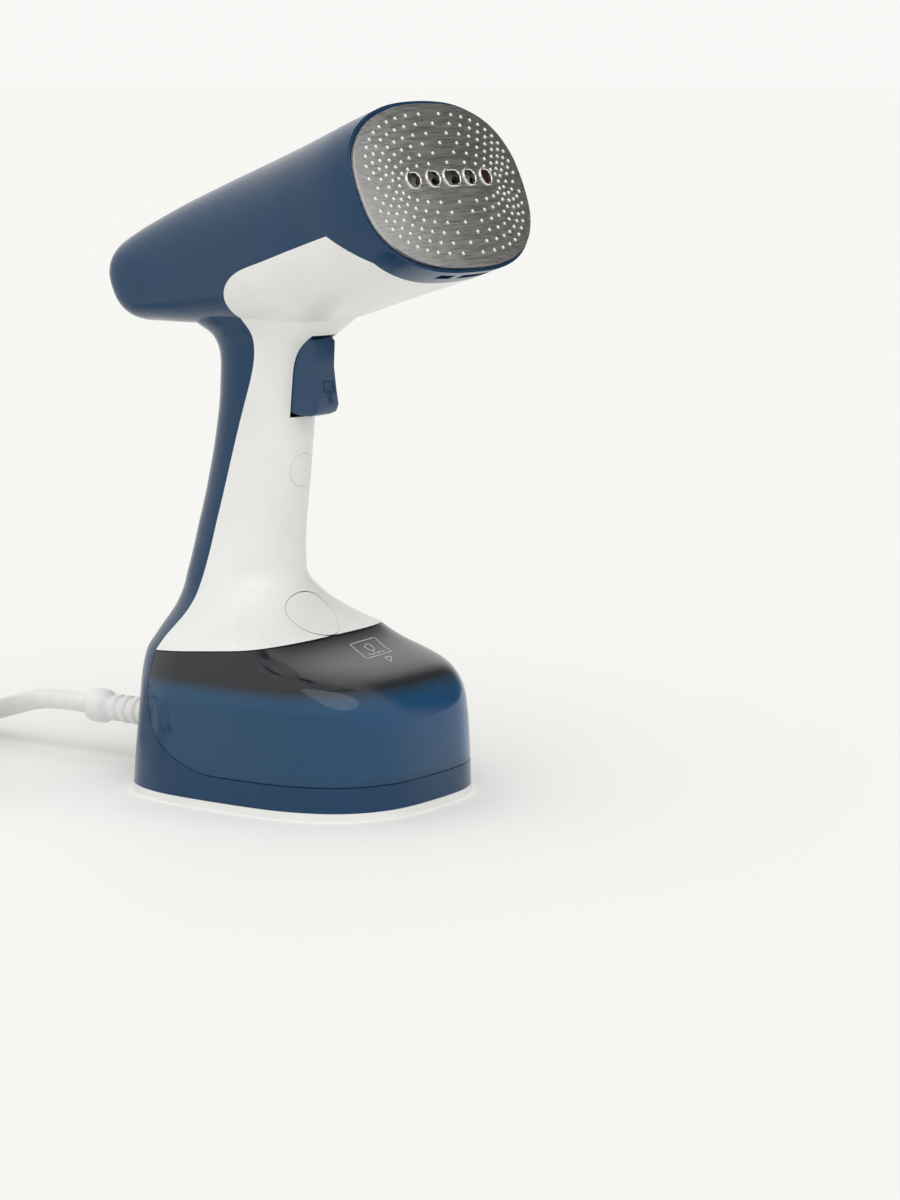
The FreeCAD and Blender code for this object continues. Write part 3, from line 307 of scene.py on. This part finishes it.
def rubbery(name, colour, roughness, texture=0.2):
    """Soft matt rubber with a fine pebbled skin."""
    finish, nodes, links, shader = new_finish(name, colour, roughness)
    pebbles = nodes.new("ShaderNodeTexVoronoi")
    pebbles.inputs["Scale"].default_value = 1400.0
    place = nodes.new("ShaderNodeTexCoord")
    links.new(place.outputs["Object"], pebbles.inputs["Vector"])
    cloud = grain(nodes, links, 60.0, 3.0)
    tint(nodes, links, cloud.outputs["Fac"], scaled(colour, 0.93), scaled(colour, 1.05),
         shader.inputs["Base Color"])
    spread(nodes, links, cloud.outputs["Fac"], roughness * 0.9, roughness * 1.08,
           shader.inputs["Roughness"])
    relief(nodes, links, pebbles.outputs["Distance"], texture, 0.00008, shader)
    return finish


def dress(node, finish):
    """Gives a node of the frame its finish."""
    item = NODES[node]
    item.data.materials.clear()
    item.data.materials.append(finish)


# ---------------------------------------------------------------- shells
class STEAMER_OT_shells(bpy.types.Operator):
    """Finish the blue and white mouldings of the barrel, grip and base"""

    bl_idname = "steamer.shells"
    bl_label = "Shells"

    def execute(self, context):
        colours = context.scene.steamer_colours
        navy = moulded("navy_gloss", tuple(colours.navy), 0.22, Specular_IOR_Level=0.32)
        white = moulded("white_gloss", tuple(colours.white), 0.32)
        for node in ("rear_housing", "collar_ring", "base_tray", "hub"):
            dress(node, navy)
        for node in ("grip_shell", "grip_cap", "release_button", "base_plate"):
            dress(node, white)
        return {"FINISHED"}


# ---------------------------------------------------------------- steam head
class STEAMER_OT_plate(bpy.types.Operator):
    """Finish the brushed steam plate and raise its dimples"""

    bl_idname = "steamer.plate"
    bl_label = "Steam plate"

    def execute(self, context):
        colours = context.scene.steamer_colours
        steel = metal("brushed_plate", tuple(colours.steel), 0.30, stretch=(0.04, 1.0, 1.0),
                      scale=1500.0, strength=0.10, Anisotropic=0.3)
        dress("steam_plate", steel)
        # rims and dimples: polished steel with lower roughness, and a colour 1.3 times lighter than the
        # plate's, which is a painted highlight
        polished_highlit_steel = metal("polished_highlit_edge", scaled(tuple(colours.steel), 1.3), 0.16, scale=1200.0)
        rims = bmesh.new()
        for k in range(-2, 3):
            half_run = 0.0022 if k == 0 else 0.0008
            outline = rounded_run(half_run, HOLE_HEIGHT / 2 + 0.0004)
            points = [on_plate(k * HOLE_PITCH + x, 0.004 + y, 0.0001) for x, y in outline]
            swept(rims, points, HOLE_RIM, closed=True)
        rim = piece_from("hole_rims", mesh_from(rims, "hole_rims"), "housing")
        rim.data.materials.append(polished_highlit_steel)
        width = context.scene.steamer_sizes.dimple_width
        bumps = bmesh.new()
        for ring in range(DIMPLE_RINGS):
            half_width = FIRST_RING[0] + ring * RING_STEP[0]
            half_height = FIRST_RING[1] + ring * RING_STEP[1]
            count = 24 + ring * 4
            for k in range(count):
                turn = 2 * math.pi * (k + 0.5 * (ring % 2)) / count
                across = math.copysign(abs(math.cos(turn)) ** 0.75, math.cos(turn)) * half_width
                upward = math.copysign(abs(math.sin(turn)) ** 0.75, math.sin(turn)) * half_height
                self.raise_dimple(bumps, across, 0.002 + upward, width / 2)
        dimples = piece_from("plate_dimples", mesh_from(bumps, "plate_dimples", sharp=70.0), "housing")
        dimples.data.materials.append(polished_highlit_steel)
        return {"FINISHED"}

    def raise_dimple(self, bm, across, upward, radius):
        """A low dome set a little way into the sheet."""
        made = bmesh.ops.create_uvsphere(bm, u_segments=8, v_segments=5, radius=radius)
        for vert in made["verts"]:
            place = Vector((vert.co.x, vert.co.y, vert.co.z * 0.75))
            vert.co = on_plate(across + place.x, upward + place.y, place.z)


# ---------------------------------------------------------------- tank
class STEAMER_OT_tank(bpy.types.Operator):
    """Tint the clear water tank and finish its fittings"""

    bl_idname = "steamer.tank"
    bl_label = "Water tank"

    def execute(self, context):
        colours = context.scene.steamer_colours
        finish, nodes, links, shader = new_finish(
            "tank_clear", tuple(colours.tank), 0.05, Transmission_Weight=0.8, IOR=1.45,
            Specular_IOR_Level=0.5)
        place = nodes.new("ShaderNodeTexCoord")
        split = nodes.new("ShaderNodeSeparateXYZ")
        links.new(place.outputs["Object"], split.inputs["Vector"])
        smoke = nodes.new("ShaderNodeMapRange")
        smoke.inputs["From Min"].default_value = TINT_BOTTOM
        smoke.inputs["From Max"].default_value = TINT_TOP
        links.new(split.outputs["Z"], smoke.inputs["Value"])
        blend = nodes.new("ShaderNodeValToRGB")
        blend.color_ramp.elements[0].color = (*colours.tank, 1.0)
        blend.color_ramp.elements[1].color = (0.020, 0.022, 0.026, 1.0)
        links.new(smoke.outputs["Result"], blend.inputs["Fac"])
        links.new(blend.outputs["Color"], shader.inputs["Base Color"])
        clear = nodes.new("ShaderNodeMapRange")
        clear.inputs["To Min"].default_value = 0.72
        clear.inputs["To Max"].default_value = 0.10
        links.new(smoke.outputs["Result"], clear.inputs["Value"])
        links.new(clear.outputs["Result"], shader.inputs["Transmission Weight"])
        haze = grain(nodes, links, 45.0, 3.0)
        spread(nodes, links, haze.outputs["Fac"], 0.06, 0.11, shader.inputs["Roughness"])
        skin = grain(nodes, links, 500.0, 2.0)
        relief(nodes, links, skin.outputs["Fac"], 0.03, 0.0001, shader)
        dress("tank_shell", finish)
        silicone = rubbery("stopper_silicone", (0.30, 0.31, 0.33), 0.55)
        dress("filler_stopper", silicone)
        dress("outlet_valve", silicone)
        dress("suction_filter", metal("filter_wire", (0.55, 0.55, 0.55), 0.4, scale=900.0))
        ink_and_groove_shade = moulded("printed_mark", (0.72, 0.72, 0.71), 0.5)
        bm = bmesh.new()
        for line, closed in self.fill_mark():
            points = [dropped("tank_shell", x, y, 0.0001) for x, y in line]
            swept(bm, points, 0.00016, closed, 6)
        mark = piece_from("fill_mark", mesh_from(bm, "fill_mark"), "tank")
        mark.data.materials.append(ink_and_groove_shade)
        return {"FINISHED"}

    def fill_mark(self):
        """Lines of the filling sign in plan: a frame, a drop over a wave, and a pointer."""
        def placed(u, v):
            return (MARK_X + 0.0096 * u + 0.0030 * v, MARK_Y + 0.0007 * u + 0.0067 * v)

        def steps(corners, count):
            ends = corners[1:] + corners[:1]
            return [placed(*Vector(a).lerp(Vector(b), k / count))
                    for a, b in zip(corners, ends) for k in range(count)]

        frame_line = steps([(-1, -1), (1, -1), (1, 1), (-1, 1)], 8)
        pointer = steps([(0.14, -1.46), (0.61, -1.60), (0.10, -2.20)], 3)
        turns = [2 * math.pi * k / 20 for k in range(20)]
        drop = [placed(0.24 * math.sin(t) * (1 - 0.35 * math.cos(t)), 0.10 - 0.46 * math.cos(t))
                for t in turns]
        wave = [placed(-0.6 + 0.06 * k, -0.66 + 0.10 * math.sin(k * 0.9)) for k in range(21)]
        return ((frame_line, True), (drop, True), (wave, False), (pointer, True))


# ---------------------------------------------------------------- inside
class STEAMER_OT_inside(bpy.types.Operator):
    """Finish the pump, steam chamber, switch, wiring and fasteners"""

    bl_idname = "steamer.inside"
    bl_label = "Inner parts"

    def execute(self, context):
        casting = metal("cast_aluminium", (0.58, 0.58, 0.57), 0.55, scale=240.0, strength=0.4)
        plated = metal("plated_screw", (0.55, 0.55, 0.56), 0.3, scale=800.0)
        wire = metal("spring_wire", (0.5, 0.5, 0.51), 0.28, stretch=(1, 1, 0.1), scale=900.0)
        stained = metal("element_sheath", (0.36, 0.32, 0.29), 0.45, scale=160.0)
        sheet_steel = metal("shield_sheet", (0.6, 0.6, 0.6), 0.3, stretch=(0.05, 1, 1), scale=500.0)
        black = moulded("switch_moulding", (0.03, 0.03, 0.032), 0.45, texture=0.15)
        pump = moulded("pump_moulding", (0.045, 0.045, 0.05), 0.5, texture=0.2)
        cream = moulded("terminal_moulding", (0.74, 0.71, 0.63), 0.5, texture=0.1)
        silicone = rubbery("gasket_silicone", (0.50, 0.17, 0.11), 0.6)
        tube = rubbery("water_tube", (0.72, 0.72, 0.69), 0.35, 0.05)
        foot = rubbery("foot_rubber", (0.045, 0.045, 0.045), 0.7, 0.35)
        sleeve = rubbery("loom_sleeve", (0.66, 0.63, 0.54), 0.85, 0.6)
        for finish, nodes in (
                (casting, ("steam_chamber", "chamber_lid")),
                (plated, ("base_screws", "grip_screw", "chamber_screws", "trigger_pin")),
                (wire, ("valve_spring", "trigger_spring", "switch_lever")),
                (stained, ("heating_element", "thermostat")),
                (sheet_steel, ("heat_shield",)),
                (black, ("micro_switch", "cord_clamp")),
                (pump, ("pump",)),
                (cream, ("terminal_block", "thermal_fuse")),
                (silicone, ("plate_gasket",)),
                (tube, ("water_tube",)),
                (foot, ("foot_pads",)),
                (sleeve, ("wiring_loom",))):
            for node in nodes:
                dress(node, finish)
        return {"FINISHED"}


# ---------------------------------------------------------------- trigger
class STEAMER_OT_trigger(bpy.types.Operator):
    """Finish the trigger"""

    bl_idname = "steamer.trigger"
    bl_label = "Trigger"

    def execute(self, context):
        colours = context.scene.steamer_colours
        navy = moulded("trigger_navy", scaled(tuple(colours.navy), 1.15), 0.36)
        outline = [(-7.6, 195.2), (-9.6, 193.0), (-9.1, 182.0), (-10.4, 172.0), (-11.4, 166.2),
                   (-10.2, 163.2), (-7.0, 161.8), (-2.0, 162.0), (7.0, 164.0), (8.6, 166.0),
                   (12.9, 169.2), (12.9, 171.4), (8.6, 174.5), (8.6, 190.0), (6.0, 194.2), (2.0, 195.2)]
        bm = bmesh.new()
        near = [bm.verts.new((-TRIGGER_HALF, y / 1000, z / 1000)) for y, z in outline]
        face = bm.faces.new(near)
        pulled = bmesh.ops.extrude_face_region(bm, geom=[face])
        moved = [item for item in pulled["geom"] if isinstance(item, bmesh.types.BMVert)]
        bmesh.ops.translate(bm, verts=moved, vec=(2 * TRIGGER_HALF, 0.0, 0.0))
        front = [edge for edge in bm.edges
                 if abs(edge.verts[0].co.x - edge.verts[1].co.x) < 1e-6
                 and all(vert.co.y < -0.0015 for vert in edge.verts)]
        bevelled(bm, front, 0.0022, 5)
        trigger = piece_from("trigger_moulding", mesh_from(bm, "trigger_moulding", sharp=50.0), "trigger")
        trigger.data.materials.append(navy)
        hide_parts("trigger")
        # the icon's lines are painted shade: dark navy lines that stand in for the shade inside the icon's
        # groove
        ink_and_groove_shade = moulded("trigger_groove_painted_shade", scaled(tuple(colours.navy), 0.25), 0.5)
        bm = bmesh.new()
        lobes = [(0.0019 + 0.0037 * math.cos(t) * (1 + 0.2 * math.cos(4 * t - math.pi)),
                  0.1739 + 0.0024 * math.sin(t) * (1 + 0.2 * math.cos(4 * t - math.pi)))
                 for t in [2 * math.pi * k / 40 for k in range(40)]]
        swept(bm, [self.on_front(x, z) for x, z in lobes], 0.00022, True, 6)
        for x_middle in (0.0007, 0.0019, 0.0031):
            stream = [(x_middle + 0.0003 * math.sin(k * 0.9), 0.1718 - 0.0050 * k / 10)
                      for k in range(11)]
            swept(bm, [self.on_front(x, z) for x, z in stream], 0.00018, False, 6)
        mark = piece_from("trigger_icon_painted_shade", mesh_from(bm, "trigger_icon_painted_shade"), "trigger")
        mark.data.materials.append(ink_and_groove_shade)
        return {"FINISHED"}

    def on_front(self, x, z):
        """A point on the trigger's finger face."""
        upper = max(0.0, 0.182 - max(z, 0.172))
        lower = max(0.0, 0.172 - z)
        return Vector((x, -0.0091 - 0.13 * upper - 0.172 * lower, z))


# ---------------------------------------------------------------- lead
def coil_points(middle, floor, outer, width, layers, layer_turns, steps=16):
    """Turns of the coil, a diameter apart: in and out again as the layers climb."""
    points = []
    whole = round(layer_turns * steps)
    inner = outer - layer_turns * width
    for layer in range(layers):
        for step in range(whole + (1 if layer == layers - 1 else 0)):
            done = step / whole
            angle = 2 * math.pi * layer_turns * (layer + done)
            inward = done if layer % 2 == 0 else 1 - done
            radius = outer + (inner - outer) * inward
            climb = min(1.0, max(0.0, (done - 0.88) / 0.12)) if layer < layers - 1 else 0.0
            height = floor + width * (layer + climb)
            points.append(middle + Vector((radius * math.cos(angle), radius * math.sin(angle), height)))
    return points


def relief_profile():
    """Half outline of the strain relief: flange, seven ribs that grow smaller, and a smooth bulge."""
    ribs = 7
    pitch = 0.040 / ribs
    profile = [(-0.0068, 0.0045), (-0.0068, 0.0084), (-0.0046, 0.0084), (-0.0046, 0.0065),
               (0.0010, 0.0065)]
    for k in range(ribs):
        along, outer = 0.0010 + k * pitch, 0.0069 - 0.00014 * k
        profile += [(along + 0.0004, outer - 0.0003), (along + 0.0009, outer),
                    (along + pitch * 0.55, outer), (along + pitch * 0.64, outer - 0.0003),
                    (along + pitch * 0.70, outer - 0.0011), (along + pitch, outer - 0.0011)]
    profile += [(0.0430, 0.0068), (0.0445, 0.0075), (0.0463, 0.0077), (0.0500, 0.0077),
                (0.0518, 0.0073), (0.0530, 0.0064), (0.0540, 0.0045)]
    return profile


class STEAMER_OT_lead(bpy.types.Operator):
    """Lay the mains cord with its coil, tie, strain relief and plug"""

    bl_idname = "steamer.lead"
    bl_label = "Mains lead"

    def execute(self, context):
        sizes = context.scene.steamer_sizes
        colours = context.scene.steamer_colours
        width = sizes.cord_width
        sheath = rubbery("cord_sheath", tuple(colours.lead), 0.42, 0.06)
        floor = TIE_THICKNESS + width / 2
        end = CORD_EXIT + EXIT_WAY * RELIEF_LENGTH
        route = [CORD_EXIT, end, Vector((0.0002, 0.152, 0.0236)), Vector((0.0040, 0.179, 0.0150)),
                 Vector((0.0095, 0.207, 0.0070))]
        route += coil_points(COIL_MIDDLE, floor, sizes.coil_radius, width, sizes.coil_layers,
                             COIL_LAYER_TURNS)
        route += [Vector((-0.1056, 0.215, 0.0316)), Vector((-0.1076, 0.197, 0.0270)),
                  Vector((-0.1086, 0.181, 0.0205)), Vector((-0.1085, 0.165, 0.0180))]
        curve = bpy.data.curves.new("mains_cord", "CURVE")
        curve.dimensions = "3D"
        spline = curve.splines.new("NURBS")
        spline.points.add(len(route) - 1)
        for point, place in zip(spline.points, route):
            point.co = (*place, 1.0)
        spline.order_u = 3
        spline.use_endpoint_u = True
        spline.resolution_u = 6
        curve.bevel_depth = width / 2
        curve.bevel_resolution = 4
        curve.materials.append(sheath)
        cord = bpy.data.objects.new("mains_cord", curve)
        context.scene.collection.objects.link(cord)
        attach(cord, "housing")
        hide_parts("power_cord", "cord_tail", "cord_coil")
        plug_finish = moulded("plug_moulding", tuple(colours.lead), 0.4, texture=0.1)
        dress("plug_body", plug_finish)
        dress("plug_pins", metal("nickel_pin", (0.66, 0.63, 0.58), 0.18, scale=700.0))
        dress("cord_tie", rubbery("tie_strap", (0.03, 0.03, 0.03), 0.7))
        sleeve = piece_from("relief_sleeve", turned("relief_sleeve", relief_profile(), CORD_EXIT, EXIT_WAY),
                            "housing")
        sleeve.data.materials.append(sheath)
        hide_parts("strain_relief")
        return {"FINISHED"}


# ---------------------------------------------------------------- stage
def studio_room(scene):
    """Even pale room seen by the camera; a softer one, with a dark screen to the right, lights."""
    world = bpy.data.worlds.new("pale_room")
    world.use_nodes = True
    nodes, links = world.node_tree.nodes, world.node_tree.links
    backdrop = nodes["Background"]
    backdrop.inputs["Color"].default_value = (0.948, 0.940, 0.922, 1.0)
    lights = nodes.new("ShaderNodeBackground")
    way = nodes.new("ShaderNodeTexCoord")
    toward = nodes.new("ShaderNodeVectorMath")
    toward.operation = "DOT_PRODUCT"
    toward.inputs[1].default_value = Vector((0.90, -0.22, 0.42)).normalized()
    links.new(way.outputs["Generated"], toward.inputs[0])
    screen = nodes.new("ShaderNodeValToRGB")
    screen.color_ramp.interpolation = "EASE"
    screen.color_ramp.elements[0].position = 0.78
    screen.color_ramp.elements[0].color = (0.92, 0.92, 0.905, 1.0)
    screen.color_ramp.elements[1].position = 0.94
    screen.color_ramp.elements[1].color = (0.12, 0.115, 0.11, 1.0)
    links.new(toward.outputs["Value"], screen.inputs["Fac"])
    links.new(screen.outputs["Color"], lights.inputs["Color"])
    seen = nodes.new("ShaderNodeLightPath")
    choose = nodes.new("ShaderNodeMixShader")
    links.new(seen.outputs["Is Camera Ray"], choose.inputs["Fac"])
    links.new(lights.outputs["Background"], choose.inputs[1])
    links.new(backdrop.outputs["Background"], choose.inputs[2])
    links.new(choose.outputs["Shader"], nodes["World Output"].inputs["Surface"])
    scene.world = world


def sunlight(name, way, strength, spread_angle):
    """An even light from far away with soft shadows."""
    lamp = bpy.data.lights.new(name, "SUN")
    lamp.energy = strength
    lamp.angle = spread_angle
    item = bpy.data.objects.new(name, lamp)
    bpy.context.scene.collection.objects.link(item)
    item.rotation_euler = Vector(way).to_track_quat("-Z", "Y").to_euler()
    return item


class STEAMER_OT_stage(bpy.types.Operator):
    """Set up the pale floor, the room's light and the camera"""

    bl_idname = "steamer.stage"
    bl_label = "Stage"

    def execute(self, context):
        values = context.scene.steamer_stage
        scene = context.scene
        bm = bmesh.new()
        bmesh.ops.create_grid(bm, x_segments=2, y_segments=2, size=40.0)
        floor = bpy.data.objects.new("floor", mesh_from(bm, "floor"))
        if floor.data.polygons[0].normal.z < 0:
            floor.data.flip_normals()
        scene.collection.objects.link(floor)
        finish = new_finish("pale_floor", (0.905, 0.90, 0.885), 1.0, Specular_IOR_Level=0.0)[0]
        floor.data.materials.append(finish)
        studio_room(scene)
        sunlight("soft_sun", (0.45, 0.55, -1.0), 0.75, math.radians(50.0))
        camera = bpy.data.cameras.new("camera")
        camera.lens = values.camera_lens
        camera.sensor_width = 36.0
        camera.clip_start = 0.05
        camera.clip_end = 100.0
        item = bpy.data.objects.new("camera", camera)
        scene.collection.objects.link(item)
        item.location = values.camera_place
        way = Vector((math.cos(values.camera_turn) * math.cos(values.camera_dip),
                      math.sin(values.camera_turn) * math.cos(values.camera_dip),
                      -math.sin(values.camera_dip)))
        item.rotation_euler = way.to_track_quat("-Z", "Y").to_euler()
        scene.camera = item
        scene.view_settings.view_transform = "Standard"
        return {"FINISHED"}


class STEAMER_PT_sidebar(bpy.types.Panel):
    """Buttons for each group of the steamer"""

    bl_label = "Garment Steamer"
    bl_idname = "STEAMER_PT_sidebar"
    bl_space_type = "VIEW_3D"
    bl_region_type = "UI"
    bl_category = "Steamer"

    def draw(self, context):
        for operator in OPERATORS:
            self.layout.operator(operator.bl_idname)
        for group in (context.scene.steamer_colours, context.scene.steamer_sizes,
                      context.scene.steamer_stage):
            box = self.layout.box()
            for name in group.__annotations__:
                box.prop(group, name)


OPERATORS = (STEAMER_OT_stage, STEAMER_OT_lead, STEAMER_OT_shells, STEAMER_OT_plate,
             STEAMER_OT_tank, STEAMER_OT_trigger, STEAMER_OT_inside)
GROUPS = (SteamerColours, SteamerSizes, SteamerStage)


def register():
    for item in GROUPS + OPERATORS + (STEAMER_PT_sidebar,):
        bpy.utils.register_class(item)
    bpy.types.Scene.steamer_colours = PointerProperty(type=SteamerColours)
    bpy.types.Scene.steamer_sizes = PointerProperty(type=SteamerSizes)
    bpy.types.Scene.steamer_stage = PointerProperty(type=SteamerStage)


def unregister():
    del bpy.types.Scene.steamer_stage
    del bpy.types.Scene.steamer_sizes
    del bpy.types.Scene.steamer_colours
    for item in reversed(GROUPS + OPERATORS + (STEAMER_PT_sidebar,)):
        bpy.utils.unregister_class(item)


def main():
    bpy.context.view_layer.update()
    register()
    bpy.ops.steamer.stage()
    bpy.ops.steamer.lead()
    bpy.ops.steamer.shells()
    bpy.ops.steamer.plate()
    bpy.ops.steamer.tank()
    bpy.ops.steamer.trigger()
    bpy.ops.steamer.inside()


if __name__ == "__main__":
    main()
